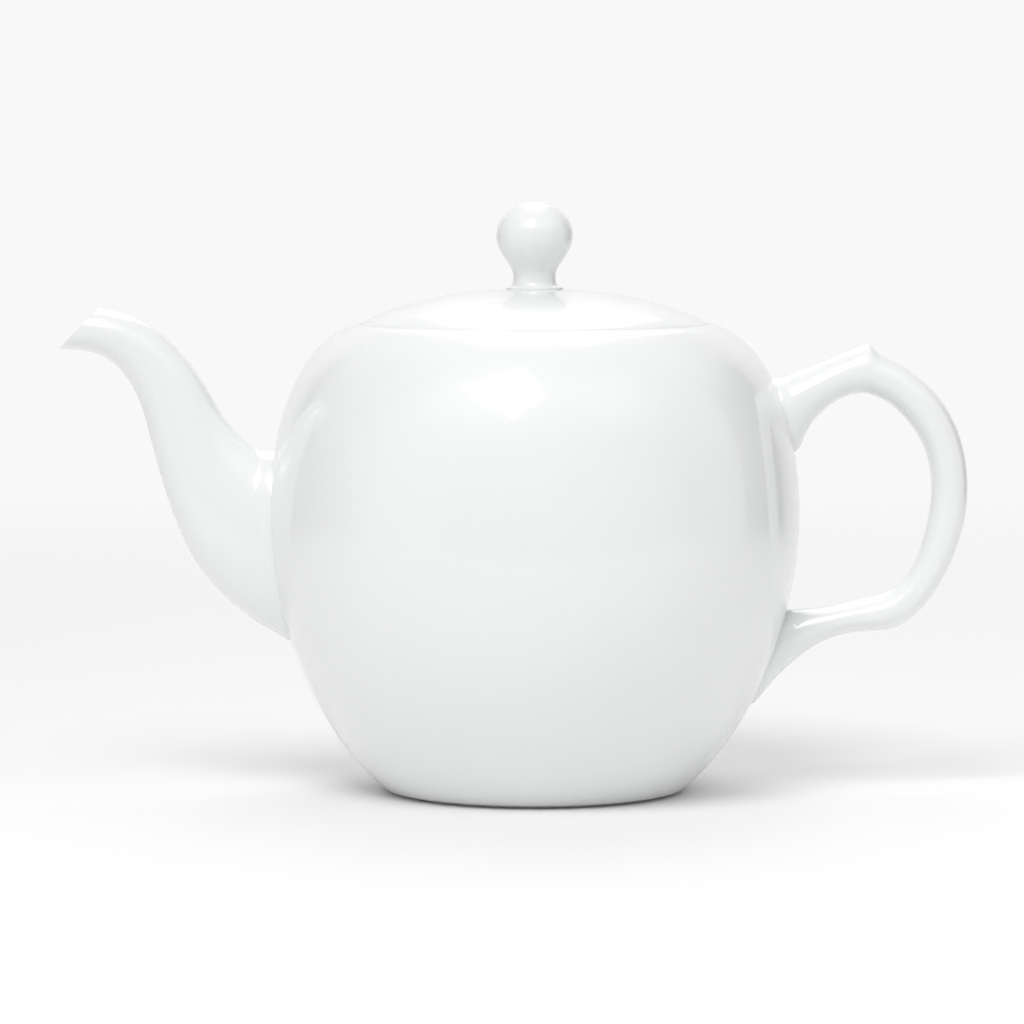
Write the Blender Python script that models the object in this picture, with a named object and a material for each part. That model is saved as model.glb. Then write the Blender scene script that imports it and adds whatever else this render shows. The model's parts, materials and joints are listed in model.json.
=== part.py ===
"""A white porcelain teapot: a round pot with a beaked spout, a looped handle and a loose knobbed lid.

Everything is modelled around the pot's own upright axis, in metres, with z = 0 at the table.
The empty "pot_axis" then carries the pieces to their place over the middle of the footprint.
"""
import bpy
import bmesh
from math import ceil
from math import cos
from math import pi
from math import sin
from mathutils import Matrix
from mathutils import Vector
from mathutils.geometry import interpolate_bezier

# The frame: the pot's axis stands this far towards the handle from the footprint's middle.
POT_AXIS_X = 0.0055

# The belly, as an outline of radius and height.
BELLY_RADIUS = 0.0710
EQUATOR_Z = 0.0740
MOUTH_RADIUS = 0.0469
MOUTH_Z = 0.1255
BASE_RADIUS = 0.0404
BASE_Z = 0.0009
WALL = 0.0036
SHOULDER_HANDLE = (0.0629, 0.1216)
UPPER_SWELL = 0.0250
LOWER_SWELL = 0.0255
BASE_HANDLE = (0.0594, 0.0165)
INNER_SHOULDER_HANDLE = (0.0622, 0.1194)
INNER_BASE_HANDLE = (0.0572, 0.0197)
FLOOR_Z = 0.0075
FLOOR_RADIUS = 0.0400

# The gallery: the step inside the mouth that the lid lies in, and the throat below it.
LEDGE_Z = 0.1232
THROAT_RADIUS = 0.0420
THROAT_DEPTH = 0.0033
RIM_ROUND = 0.0002

# The foot ring, let into the underside.
FOOT_OUTER_RADIUS = 0.0382
FOOT_WIDTH = 0.0040
FOOT_HEIGHT = 0.0032
FOOT_EDGE_ROUND = 0.0005

# The lid, its locating ring and its knob.
LID_RADIUS = 0.0464
LID_EDGE_Z = 0.1257
LID_RISE = 0.0091
DOME_POWER = 2.9
LID_CROWN_THICKNESS = 0.0030
LID_EDGE_ROUND = 0.0004
LID_HOLLOW_RADIUS = 0.0384
RING_OUTER_RADIUS = 0.0414
RING_INNER_RADIUS = 0.0386
RING_DEPTH = 0.0117
RING_EDGE_ROUND = 0.0008
VENT_RADIUS = 0.0018
VENT_OFFSET = 0.0220
KNOB_RADIUS = 0.0103
KNOB_WIDEST_Z = 0.1491
KNOB_TOP_Z = 0.1580
KNOB_NECK_RADIUS = 0.0057
KNOB_NECK_Z = 0.1384
KNOB_FOOT_RADIUS = 0.0080
KNOB_FOOT_HANDLE = (-0.0016, 0.0005)
KNOB_NECK_BEND = 0.0018
KNOB_CUP_BEND = 0.0026
KNOB_CHEEK_BEND = 0.0050
KNOB_CROWN_BEND = 0.0046
KNOB_CROWN_FLAT = 0.0056

# The spout: upper and lower edge (x, z) and half the width at each station, root to beak.
SPOUT_STATIONS = [
    ((-0.0560, 0.0880), (-0.0500, 0.0380), 0.0142),
    ((-0.0705, 0.0906), (-0.0660, 0.0408), 0.0132),
    ((-0.0767, 0.0935), (-0.0777, 0.0473), 0.0114),
    ((-0.0828, 0.1000), (-0.0903, 0.0600), 0.0102),
    ((-0.0868, 0.1069), (-0.0978, 0.0770), 0.0094),
    ((-0.0903, 0.1125), (-0.1024, 0.0930), 0.0087),
    ((-0.0947, 0.1179), (-0.1053, 0.1040), 0.0081),
    ((-0.0998, 0.1230), (-0.1090, 0.1111), 0.0077),
    ((-0.1060, 0.1267), (-0.1130, 0.1152), 0.0073),
    ((-0.1142, 0.1293), (-0.1178, 0.1177), 0.0069),
    ((-0.1225, 0.1296), (-0.1240, 0.1183), 0.0065),
    ((-0.1320, 0.1296), (-0.1330, 0.1184), 0.0062),
]
SPOUT_WALL = 0.0027
BEAK_TIP = (-0.1270, 0.1185)
BEAK_ANGLE = pi / 4

# The strainer: a domed, pierced plate in the oval hole behind the spout.
SPOUT_HOLE_Z = 0.0660
SPOUT_HOLE_HALF_HEIGHT = 0.0185
SPOUT_HOLE_HALF_WIDTH = 0.0085
STRAINER_EDGE_X = -0.0668
STRAINER_BULGE = 0.0045
STRAINER_THICKNESS = 0.0020
STRAINER_HOLE_RADIUS = 0.0015
STRAINER_PITCH = 0.0048
STRAINER_MARGIN = 0.0033

# The handle: outer and inner edge (x, z) and half the width at each station, top to tail.
HANDLE_STATIONS = [
    ((0.0560, 0.1068), (0.0610, 0.0880), 0.0088),
    ((0.0635, 0.1099), (0.0703, 0.0914), 0.0080),
    ((0.0705, 0.1126), (0.0736, 0.0981), 0.0072),
    ((0.0785, 0.1154), (0.0795, 0.1040), 0.0068),
    ((0.0848, 0.1170), (0.0848, 0.1064), 0.0066),
    ((0.0893, 0.1172), (0.0884, 0.1066), 0.0066),
    ((0.0921, 0.1165), (0.0905, 0.1061), 0.0065),
    ((0.0976, 0.1142), (0.0943, 0.1045), 0.0065),
    ((0.1042, 0.1099), (0.0990, 0.1003), 0.0064),
    ((0.1097, 0.1038), (0.1028, 0.0952), 0.0063),
    ((0.1135, 0.0965), (0.1052, 0.0896), 0.0062),
    ((0.1156, 0.0885), (0.1061, 0.0845), 0.0061),
    ((0.1161, 0.0800), (0.1062, 0.0790), 0.0060),
    ((0.1151, 0.0715), (0.1053, 0.0725), 0.0060),
    ((0.1127, 0.0635), (0.1034, 0.0652), 0.0060),
    ((0.1090, 0.0560), (0.1008, 0.0592), 0.0060),
    ((0.1038, 0.0486), (0.0966, 0.0545), 0.0061),
    ((0.0973, 0.0437), (0.0910, 0.0524), 0.0062),
    ((0.0897, 0.0429), (0.0855, 0.0512), 0.0063),
    ((0.0825, 0.0420), (0.0800, 0.0498), 0.0064),
    ((0.0755, 0.0391), (0.0745, 0.0490), 0.0066),
    ((0.0690, 0.0342), (0.0702, 0.0487), 0.0069),
    ((0.0630, 0.0284), (0.0660, 0.0470), 0.0072),
    ((0.0560, 0.0215), (0.0600, 0.0440), 0.0074),
]
ARCH_Z = 0.1000
SPUR_START_X = 0.0635
SPUR_TIP_X = 0.0893
SPUR_FALL = 0.0028
SPUR_HEIGHT = 0.0027
SPUR_SWEEP = 3.0
SPUR_CREST_POWER = 0.5

# Neighbouring pieces stand this far apart.
JOINT_GAP = 0.0003

# Cutting shapes reach well past what they cut.
DRILL_LENGTH = 0.0400
CUTTER_OVERSHOOT = 0.0040

# How finely the curves and rounds are stepped.
TURNED_SEGMENTS = 48
OVAL_SEGMENTS = 32
DRILL_SEGMENTS = 10
STRAINER_STEPS = 6
CURVE_STEPS = 9
SECTION_SEGMENTS = 20
STATION_STEPS = 2


def clear_scene():
    for old in list(bpy.data.objects):
        bpy.data.objects.remove(old, do_unlink=True)


def clay(name, color, roughness):
    """A ceramic surface of one colour and one roughness."""
    material = bpy.data.materials.new(name)
    material.use_nodes = True
    shader = material.node_tree.nodes["Principled BSDF"]
    shader.inputs["Base Color"].default_value = (*color, 1.0)
    shader.inputs["Roughness"].default_value = roughness
    shader.inputs["Metallic"].default_value = 0.0
    return material


def curve(start, start_handle, end_handle, end, steps=CURVE_STEPS):
    """Points (radius, height) along one cubic curve, both ends included."""
    knots = [Vector((r, 0.0, z)) for r, z in (start, start_handle, end_handle, end)]
    return [(p.x, p.z) for p in interpolate_bezier(*knots, steps + 1)]


def smooth_rows(rows, steps):
    """More rows of numbers between the given ones, on a smooth curve through all of them."""
    last = len(rows) - 1
    finer = []
    for i in range(last):
        before, a, b, after = (rows[max(0, min(last, i + k))] for k in (-1, 0, 1, 2))
        for step in range(steps):
            t = step / steps
            finer.append([
                0.5 * (2 * q + (r - p) * t + (2 * p - 5 * q + 4 * r - s) * t ** 2
                       + (3 * q - p - 3 * r + s) * t ** 3)
                for p, q, r, s in zip(before, a, b, after)
            ])
    finer.append(list(rows[-1]))
    return finer


def add_solid(name, mesh_data, material, pot_axis):
    """Turn the mesh's faces outwards and hang it on the pot's axis as a named object."""
    bmesh.ops.remove_doubles(mesh_data, verts=mesh_data.verts, dist=1e-6)
    bmesh.ops.recalc_face_normals(mesh_data, faces=mesh_data.faces)
    mesh = bpy.data.meshes.new(name)
    mesh_data.to_mesh(mesh)
    mesh_data.free()
    mesh.shade_smooth()
    mesh.set_sharp_from_angle(angle=pi / 6)
    solid = bpy.data.objects.new(name, mesh)
    bpy.context.scene.collection.objects.link(solid)
    solid.parent = pot_axis
    if material:
        mesh.materials.append(material)
    return solid


def turn_outline(outline, closed, segments=TURNED_SEGMENTS):
    """Spin an outline of (radius, height) points once round the z axis."""
    mesh_data = bmesh.new()
    points = [mesh_data.verts.new((r, 0.0, z)) for r, z in outline]
    edges = [mesh_data.edges.new(pair) for pair in zip(points, points[1:])]
    if closed:
        edges.append(mesh_data.edges.new((points[-1], points[0])))
    bmesh.ops.spin(
        mesh_data, geom=points + edges, axis=(0, 0, 1), cent=(0, 0, 0),
        angle=2 * pi, steps=segments,
    )
    return mesh_data


def loft_sections(sections):
    """Join rings of points, each with the same count, into a closed tube with flat ends."""
    mesh_data = bmesh.new()
    rings = [[mesh_data.verts.new(point) for point in ring] for ring in sections]
    for ring, following in zip(rings, rings[1:]):
        for i in range(len(ring)):
            j = (i + 1) % len(ring)
            mesh_data.faces.new((ring[i], ring[j], following[j], following[i]))
    mesh_data.faces.new(rings[0])
    mesh_data.faces.new(reversed(rings[-1]))
    return mesh_data


def oval_section(upper, lower, half_width, inset=0.0, raise_upper=None):
    """A ring of points round the oval that hangs between an upper and a lower edge point."""
    upper = Vector((upper[0], 0.0, upper[1]))
    lower = Vector((lower[0], 0.0, lower[1]))
    centre = (upper + lower) / 2
    up = (upper - lower).normalized()
    half_height = (upper - lower).length / 2 - inset
    ring = []
    for i in range(SECTION_SEGMENTS):
        turn = 2 * pi * i / SECTION_SEGMENTS
        point = centre + up * half_height * cos(turn)
        point.y = (half_width - inset) * sin(turn)
        if raise_upper and cos(turn) > 0:
            point.z += raise_upper(point.x) * cos(turn) ** SPUR_CREST_POWER
        ring.append(point)
    return ring


def as_cutter(cutter):
    """Mark an object as a cutting shape, which isn't part of the teapot."""
    cutter.hide_render = True
    cutter.display_type = 'WIRE'
    return cutter


def cut(solid, cutter):
    difference = solid.modifiers.new("cut_by_" + cutter.name, 'BOOLEAN')
    difference.operation = 'DIFFERENCE'
    difference.object = cutter


def cylinder_at(mesh_data, centre, radius, length, along, segments):
    """Add a capped cylinder to a mesh, lying along the given direction."""
    turn = Vector((0, 0, 1)).rotation_difference(Vector(along)).to_matrix().to_4x4()
    bmesh.ops.create_cone(
        mesh_data, cap_ends=True, segments=segments, radius1=radius, radius2=radius,
        depth=length, matrix=Matrix.Translation(centre) @ turn,
    )


def belly_outside():
    """The belly's outer curve, from the base edge up to the mouth."""
    lower = curve(
        (BASE_RADIUS, BASE_Z), BASE_HANDLE,
        (BELLY_RADIUS, EQUATOR_Z - LOWER_SWELL), (BELLY_RADIUS, EQUATOR_Z),
    )
    upper = curve(
        (BELLY_RADIUS, EQUATOR_Z), (BELLY_RADIUS, EQUATOR_Z + UPPER_SWELL),
        SHOULDER_HANDLE, (MOUTH_RADIUS, MOUTH_Z),
    )
    return lower + upper[1:]


def belly_inside():
    """The belly's inner curve, from under the throat down to the floor's edge."""
    inner_radius = BELLY_RADIUS - WALL
    throat_foot = (THROAT_RADIUS, LEDGE_Z - THROAT_DEPTH)
    upper = curve(
        throat_foot, INNER_SHOULDER_HANDLE,
        (inner_radius, EQUATOR_Z + UPPER_SWELL), (inner_radius, EQUATOR_Z),
    )
    lower = curve(
        (inner_radius, EQUATOR_Z), (inner_radius, EQUATOR_Z - LOWER_SWELL),
        INNER_BASE_HANDLE, (FLOOR_RADIUS, FLOOR_Z),
    )
    return upper + lower[1:]


def make_belly(material, pot_axis):
    """The pot's wall: a turned shell with a let-in foot and a stepped mouth."""
    groove_radius = FOOT_OUTER_RADIUS + JOINT_GAP
    groove_z = FOOT_HEIGHT + JOINT_GAP
    outline = [(0.0, groove_z), (groove_radius, groove_z), (groove_radius, BASE_Z)]
    outline += belly_outside()
    outline += [
        (MOUTH_RADIUS - RIM_ROUND, MOUTH_Z - RIM_ROUND),
        (MOUTH_RADIUS - RIM_ROUND, LEDGE_Z),
        (THROAT_RADIUS, LEDGE_Z),
    ]
    outline += belly_inside()
    outline.append((0.0, FLOOR_Z))
    return add_solid("belly", turn_outline(outline, closed=False), material, pot_axis)


def make_belly_envelope(pot_axis):
    """The space that the belly takes up, with the joint gap round it, for cutting roots."""
    outline = [(0.0, BASE_Z)]
    outline += [(r + JOINT_GAP, z) for r, z in belly_outside()]
    outline.append((0.0, MOUTH_Z))
    envelope = add_solid("belly_envelope", turn_outline(outline, closed=False), None, pot_axis)
    return as_cutter(envelope)


def make_foot_ring(material, pot_axis):
    """The bare ring that the pot stands on, with softened lower edges."""
    inner_radius = FOOT_OUTER_RADIUS - FOOT_WIDTH
    soft = FOOT_EDGE_ROUND
    outline = [
        (FOOT_OUTER_RADIUS, FOOT_HEIGHT),
        (FOOT_OUTER_RADIUS, soft),
        (FOOT_OUTER_RADIUS - soft, 0.0),
        (inner_radius + soft, 0.0),
        (inner_radius, soft),
        (inner_radius, FOOT_HEIGHT),
    ]
    return add_solid("foot_ring", turn_outline(outline, closed=True), material, pot_axis)


def make_spout_hole(pot_axis):
    """The oval hole through the belly's wall behind the spout."""
    mesh_data = bmesh.new()
    centre = (STRAINER_EDGE_X, 0, 0)
    cylinder_at(mesh_data, centre, SPOUT_HOLE_HALF_HEIGHT, DRILL_LENGTH, (1, 0, 0), OVAL_SEGMENTS)
    squeeze = Matrix.Diagonal((1, SPOUT_HOLE_HALF_WIDTH / SPOUT_HOLE_HALF_HEIGHT, 1, 1))
    raise_up = Matrix.Translation((0, 0, SPOUT_HOLE_Z))
    bmesh.ops.transform(mesh_data, matrix=raise_up @ squeeze, verts=mesh_data.verts)
    return as_cutter(add_solid("spout_hole", mesh_data, None, pot_axis))


def make_spout(material, pot_axis, belly_envelope):
    """A hollow, curved spout whose beak is cut off at a slant."""
    stations = [(*upper, *lower, width) for upper, lower, width in SPOUT_STATIONS]
    rows = smooth_rows(stations, STATION_STEPS)
    outside = [oval_section(row[0:2], row[2:4], row[4]) for row in rows]
    inside = [oval_section(row[0:2], row[2:4], row[4], inset=SPOUT_WALL) for row in rows]
    overshoot = Vector((CUTTER_OVERSHOOT, 0.0, 0.0))
    inside[0] = [point + overshoot for point in inside[0]]
    inside[-1] = [point - overshoot for point in inside[-1]]
    spout = add_solid("spout", loft_sections(outside), material, pot_axis)
    channel = as_cutter(add_solid("spout_channel", loft_sections(inside), None, pot_axis))
    cut(spout, channel)
    cut(spout, belly_envelope)
    cut(spout, make_beak_cutter(pot_axis))
    return spout


def make_beak_cutter(pot_axis):
    """A block whose lower face is the slanting plane of the spout's mouth."""
    mesh_data = bmesh.new()
    bmesh.ops.create_cube(mesh_data, size=DRILL_LENGTH)
    lift = Matrix.Translation((0, 0, DRILL_LENGTH / 2))
    tilt = Matrix.Rotation(-BEAK_ANGLE, 4, 'Y')
    place = Matrix.Translation((BEAK_TIP[0], 0, BEAK_TIP[1]))
    bmesh.ops.transform(mesh_data, matrix=place @ tilt @ lift, verts=mesh_data.verts)
    return as_cutter(add_solid("beak_cutter", mesh_data, None, pot_axis))


def strainer_hole_places():
    """Centres (y, z) of a staggered grid of holes that keeps clear of the plate's edge."""
    half_width = SPOUT_HOLE_HALF_WIDTH - STRAINER_MARGIN
    half_height = SPOUT_HOLE_HALF_HEIGHT - STRAINER_MARGIN
    row_height = STRAINER_PITCH * sin(pi / 3)
    rows = ceil(half_height / row_height)
    columns = ceil(half_width / STRAINER_PITCH)
    places = []
    for row in range(-rows, rows + 1):
        shift = STRAINER_PITCH / 2 if row % 2 else 0.0
        for column in range(-columns, columns + 1):
            y = column * STRAINER_PITCH + shift
            z = row * row_height
            if (y / half_width) ** 2 + (z / half_height) ** 2 <= 1.0:
                places.append((y, SPOUT_HOLE_Z + z))
    return places


def make_strainer(material, pot_axis):
    """A thin oval plate, domed into the pot and pierced to hold back the leaves."""
    half_height = SPOUT_HOLE_HALF_HEIGHT - JOINT_GAP
    dome = []
    for step in range(STRAINER_STEPS + 1):
        share = step / STRAINER_STEPS
        dome.append((half_height * share, STRAINER_BULGE * (1 - share ** 2)))
    back = [(r, height - STRAINER_THICKNESS) for r, height in reversed(dome)]
    mesh_data = turn_outline(dome + back, closed=False, segments=OVAL_SEGMENTS)
    face_pot = Matrix.Rotation(pi / 2, 4, 'Y')
    width_share = (SPOUT_HOLE_HALF_WIDTH - JOINT_GAP) / half_height
    squeeze = Matrix.Diagonal((1, width_share, 1, 1))
    place = Matrix.Translation((STRAINER_EDGE_X, 0, SPOUT_HOLE_Z))
    bmesh.ops.transform(mesh_data, matrix=place @ squeeze @ face_pot, verts=mesh_data.verts)
    strainer = add_solid("spout_strainer", mesh_data, material, pot_axis)
    drills = bmesh.new()
    for y, z in strainer_hole_places():
        centre = (STRAINER_EDGE_X, y, z)
        cylinder_at(drills, centre, STRAINER_HOLE_RADIUS, DRILL_LENGTH, (1, 0, 0), DRILL_SEGMENTS)
    cut(strainer, as_cutter(add_solid("strainer_drills", drills, None, pot_axis)))
    return strainer


def spur_height(x):
    """How far the thumb spur stands up from the loop of the handle at x."""
    if x < SPUR_START_X:
        return 0.0
    if x <= SPUR_TIP_X:
        share = (x - SPUR_START_X) / (SPUR_TIP_X - SPUR_START_X)
        return SPUR_HEIGHT * share ** SPUR_SWEEP
    return SPUR_HEIGHT * max(0.0, 1 - (x - SPUR_TIP_X) / SPUR_FALL)


def make_handle(material, pot_axis, belly_envelope):
    """A looped handle with a thumb spur on top and a tail running down the belly."""
    stations = [(*outer, *inner, width) for outer, inner, width in HANDLE_STATIONS]
    sections = []
    for row in smooth_rows(stations, STATION_STEPS):
        raise_upper = spur_height if row[1] > ARCH_Z else None
        sections.append(oval_section(row[0:2], row[2:4], row[4], raise_upper=raise_upper))
    handle = add_solid("handle", loft_sections(sections), material, pot_axis)
    cut(handle, belly_envelope)
    return handle


def dome_outline(radius, edge_z, rise, steps):
    """A low dome, flat in the middle and steeper at its edge, from the axis outwards."""
    outline = []
    for step in range(steps + 1):
        r = radius * sin(pi / 2 * step / steps)
        outline.append((r, edge_z + rise * (1 - (r / radius) ** DOME_POWER)))
    return outline


def make_lid(material, pot_axis):
    """The lid's dome, hollow below, with the flat edge that lies on the ledge."""
    underside_z = LEDGE_Z + JOINT_GAP
    soft = LID_EDGE_ROUND
    hollow_rise = LID_EDGE_Z + LID_RISE - LID_CROWN_THICKNESS - underside_z
    outline = dome_outline(LID_RADIUS, LID_EDGE_Z, LID_RISE, 12)[:-1]
    outline += [
        (LID_RADIUS, LID_EDGE_Z - soft),
        (LID_RADIUS, underside_z + soft),
        (LID_RADIUS - soft, underside_z),
    ]
    outline += reversed(dome_outline(LID_HOLLOW_RADIUS, underside_z, hollow_rise, 8))
    lid = add_solid("lid", turn_outline(outline, closed=False), material, pot_axis)
    drill = bmesh.new()
    centre = (0, VENT_OFFSET, LID_EDGE_Z)
    cylinder_at(drill, centre, VENT_RADIUS, DRILL_LENGTH, (0, 0, 1), DRILL_SEGMENTS)
    cut(lid, as_cutter(add_solid("vent_drill", drill, None, pot_axis)))
    return lid


def make_lid_ring(material, pot_axis):
    """The locating ring that hangs in the throat and keeps the lid from sliding."""
    top_z = LEDGE_Z
    bottom_z = top_z - RING_DEPTH
    soft = RING_EDGE_ROUND
    outline = [
        (RING_OUTER_RADIUS, top_z),
        (RING_OUTER_RADIUS, bottom_z + soft),
        (RING_OUTER_RADIUS - soft, bottom_z),
        (RING_INNER_RADIUS + soft, bottom_z),
        (RING_INNER_RADIUS, bottom_z + soft),
        (RING_INNER_RADIUS, top_z),
    ]
    return add_solid("lid_ring", turn_outline(outline, closed=True), material, pot_axis)


def make_lid_knob(material, pot_axis):
    """The ball knob on its waisted neck."""
    foot_z = LID_EDGE_Z + LID_RISE + JOINT_GAP
    neck = (KNOB_NECK_RADIUS, KNOB_NECK_Z)
    cheek = (KNOB_RADIUS, KNOB_WIDEST_Z)
    flare = curve(
        (KNOB_FOOT_RADIUS, foot_z),
        (KNOB_FOOT_RADIUS + KNOB_FOOT_HANDLE[0], foot_z + KNOB_FOOT_HANDLE[1]),
        (KNOB_NECK_RADIUS, KNOB_NECK_Z - KNOB_NECK_BEND), neck, steps=5,
    )
    cup = curve(
        neck, (KNOB_NECK_RADIUS, KNOB_NECK_Z + KNOB_CUP_BEND),
        (KNOB_RADIUS, KNOB_WIDEST_Z - KNOB_CHEEK_BEND), cheek, steps=8,
    )
    crown = curve(
        cheek, (KNOB_RADIUS, KNOB_WIDEST_Z + KNOB_CROWN_BEND),
        (KNOB_CROWN_FLAT, KNOB_TOP_Z), (0.0, KNOB_TOP_Z), steps=7,
    )
    outline = [(0.0, foot_z)] + flare + cup[1:] + crown[1:]
    mesh_data = turn_outline(outline, closed=False, segments=OVAL_SEGMENTS)
    return add_solid("lid_knob", mesh_data, material, pot_axis)


def make_teapot():
    clear_scene()
    pot_axis = bpy.data.objects.new("pot_axis", None)
    bpy.context.scene.collection.objects.link(pot_axis)
    pot_axis.location = (POT_AXIS_X, 0.0, 0.0)
    white = (0.83, 0.84, 0.83)
    bare = (0.80, 0.78, 0.74)
    envelope = make_belly_envelope(pot_axis)
    belly = make_belly(clay("belly_glaze", white, 0.08), pot_axis)
    cut(belly, make_spout_hole(pot_axis))
    make_foot_ring(clay("foot_biscuit", bare, 0.75), pot_axis)
    make_spout(clay("spout_glaze", white, 0.08), pot_axis, envelope)
    make_strainer(clay("strainer_glaze", white, 0.12), pot_axis)
    make_handle(clay("handle_glaze", white, 0.08), pot_axis, envelope)
    make_lid(clay("lid_glaze", white, 0.08), pot_axis)
    make_lid_ring(clay("ring_glaze", white, 0.12), pot_axis)
    make_lid_knob(clay("knob_glaze", white, 0.08), pot_axis)


make_teapot()
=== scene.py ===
# %% [markdown]
# # A white porcelain teapot
#
# This lesson builds the looks of a teapot around a fixed frame: the imported CAD model. The frame
# says how big each part is and where it stands. Here every part is modelled again, finer, in the
# way a pottery makes it: round parts are turned on a wheel from a template, the spout and the
# handle are swept through rings, and the joints are pressed on with a little extra clay.
#
# The first cell loads the frame and keeps its box, so that each finished piece can be compared
# with the box of the node that it stands for.

# %% Load the frame
import json
from math import atan2, cos, pi, radians, sin

import bmesh
import bpy
from mathutils import Matrix, Quaternion, Vector

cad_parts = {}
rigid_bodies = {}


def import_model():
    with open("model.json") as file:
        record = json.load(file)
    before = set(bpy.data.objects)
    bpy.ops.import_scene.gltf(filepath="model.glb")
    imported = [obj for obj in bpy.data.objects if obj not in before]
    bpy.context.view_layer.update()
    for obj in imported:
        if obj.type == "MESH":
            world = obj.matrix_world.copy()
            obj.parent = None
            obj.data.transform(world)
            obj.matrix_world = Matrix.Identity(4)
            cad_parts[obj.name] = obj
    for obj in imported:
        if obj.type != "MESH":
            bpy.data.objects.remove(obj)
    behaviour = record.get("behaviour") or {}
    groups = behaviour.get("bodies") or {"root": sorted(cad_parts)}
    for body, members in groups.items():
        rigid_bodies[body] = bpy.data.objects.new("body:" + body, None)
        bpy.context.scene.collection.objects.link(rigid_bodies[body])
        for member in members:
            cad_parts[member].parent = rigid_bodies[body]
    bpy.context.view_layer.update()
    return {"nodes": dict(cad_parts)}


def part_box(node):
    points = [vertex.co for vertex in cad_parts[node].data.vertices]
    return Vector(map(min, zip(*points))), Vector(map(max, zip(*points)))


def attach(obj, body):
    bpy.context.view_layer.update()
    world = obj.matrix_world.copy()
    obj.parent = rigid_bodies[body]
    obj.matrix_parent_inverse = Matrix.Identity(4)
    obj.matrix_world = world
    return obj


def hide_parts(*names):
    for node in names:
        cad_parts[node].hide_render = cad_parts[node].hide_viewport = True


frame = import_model()
print("nodes of the frame:", sorted(frame["nodes"]))

# %% [markdown]
# ## Where things are
#
# A turned pot is all measured from one upright axis. The belly is round, so the middle of its box
# is that axis. Other places come from the boxes of the frame's nodes too, and nothing is fitted
# by eye.

# %% Measures taken from the frame
belly_low, belly_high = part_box("belly")
axis_x = (belly_low[0] + belly_high[0]) / 2
belly_radius = (belly_high[1] - belly_low[1]) / 2
mouth_z = belly_high[2]
base_z = belly_low[2]
lid_low, lid_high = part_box("lid")
lid_radius = (lid_high[0] - lid_low[0]) / 2
ring_low, ring_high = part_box("lid_ring")
ring_radius = (ring_high[0] - ring_low[0]) / 2
knob_low, knob_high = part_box("lid_knob")
knob_radius = (knob_high[0] - knob_low[0]) / 2
foot_low, foot_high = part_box("foot_ring")
foot_radius = (foot_high[0] - foot_low[0]) / 2
print(f"axis at x = {axis_x * 1000:.2f} mm; belly radius {belly_radius * 1000:.2f} mm")
print(f"mouth at {mouth_z * 1000:.2f} mm; lid radius {lid_radius * 1000:.2f} mm")

# %% [markdown]
# ## Small tools for the bench
#
# Blender's operators act on whatever is selected, and the frame's nodes are still selected after
# loading. So each step starts by choosing just the one object that it works on. Modifiers are
# added, given their settings and applied at once, so that a finished piece is plain mesh. Faces
# that meet at less than the crease angle are shaded as one smooth surface.

# %% Choosing, selecting and applying
CREASE_ANGLE = radians(50)


def choose(piece):
    """Make this the only selected object, and the active one."""
    bpy.ops.object.select_all(action='DESELECT')
    piece.select_set(True)
    bpy.context.view_layer.objects.active = piece


def shape_with(piece, kind, **settings):
    """Add a modifier of this kind with its settings, and apply it."""
    choose(piece)
    modifier = piece.modifiers.new(kind.lower(), kind)
    for setting, value in settings.items():
        setattr(modifier, setting, value)
    bpy.ops.object.modifier_apply(modifier=modifier.name)


def shade_smooth(piece):
    """Shade the piece smooth wherever its faces meet at less than the crease angle."""
    choose(piece)
    bpy.ops.object.shade_smooth_by_angle(angle=CREASE_ANGLE)


def select_points(piece, wanted):
    """In edit mode, select just the vertices for which wanted(vertex) is true."""
    points = bmesh.from_edit_mesh(piece.data)
    for point in points.verts:
        point.select_set(wanted(point))
    points.select_flush_mode()
    bmesh.update_edit_mesh(piece.data)


def report(piece, node):
    """Print how far this piece's box is from the box of the node that it stands for."""
    places = [vertex.co for vertex in piece.data.vertices]
    low = [min(place[axis] for place in places) for axis in range(3)]
    high = [max(place[axis] for place in places) for axis in range(3)]
    cad_low, cad_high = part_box(node)
    cad_sides = list(cad_low) + list(cad_high)
    gaps = [abs(here - there) * 1000 for here, there in zip(low + high, cad_sides)]
    faces = len(piece.data.polygons)
    print(f"{piece.name}: {faces} faces, box within {max(gaps):.2f} mm of node {node}")


# %% [markdown]
# ## The glaze and the bare clay
#
# The body is hard-paste porcelain. Before the glaze firing the whole pot was dipped in a clear
# feldspar glaze, which melted to a glass a fifth of a millimetre thick. To the eye that gives
# two things at once: a soft, faintly cool white from the clay below, which lets a little light
# in, and a sharp mirror from the glass above. In the shader the clay is a fairly rough base with
# a little subsurface light, and the glass is its coat.
#
# A single flat colour would look like plastic. Real glaze is a shade cooler where it lies
# thicker, the dipped surface rises and falls by a few hundredths of a millimetre, which makes
# the edges of reflections waver, and now and then there is a pinhole or an iron speck.

# %% Colours and nodes
def linear(hex_colour):
    """An sRGB hex colour as the linear red, green, blue and alpha that shaders take."""
    channels = [int(hex_colour[i:i + 2], 16) / 255 for i in (1, 3, 5)]
    bright = [c / 12.92 if c <= 0.04045 else ((c + 0.055) / 1.055) ** 2.4 for c in channels]
    return (*bright, 1.0)


def add_node(tree, kind, inputs=None, **settings):
    """Add a node with its settings, and give its inputs numbers or other nodes' outputs."""
    node = tree.nodes.new(kind)
    for setting, value in settings.items():
        setattr(node, setting, value)
    for socket, value in (inputs or {}).items():
        if isinstance(value, bpy.types.NodeSocket):
            tree.links.new(value, node.inputs[socket])
        else:
            node.inputs[socket].default_value = value
    return node


def new_material(name):
    """An empty node material and its shader."""
    material = bpy.data.materials.new(name)
    material.use_nodes = True
    return material, material.node_tree, material.node_tree.nodes["Principled BSDF"]


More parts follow.
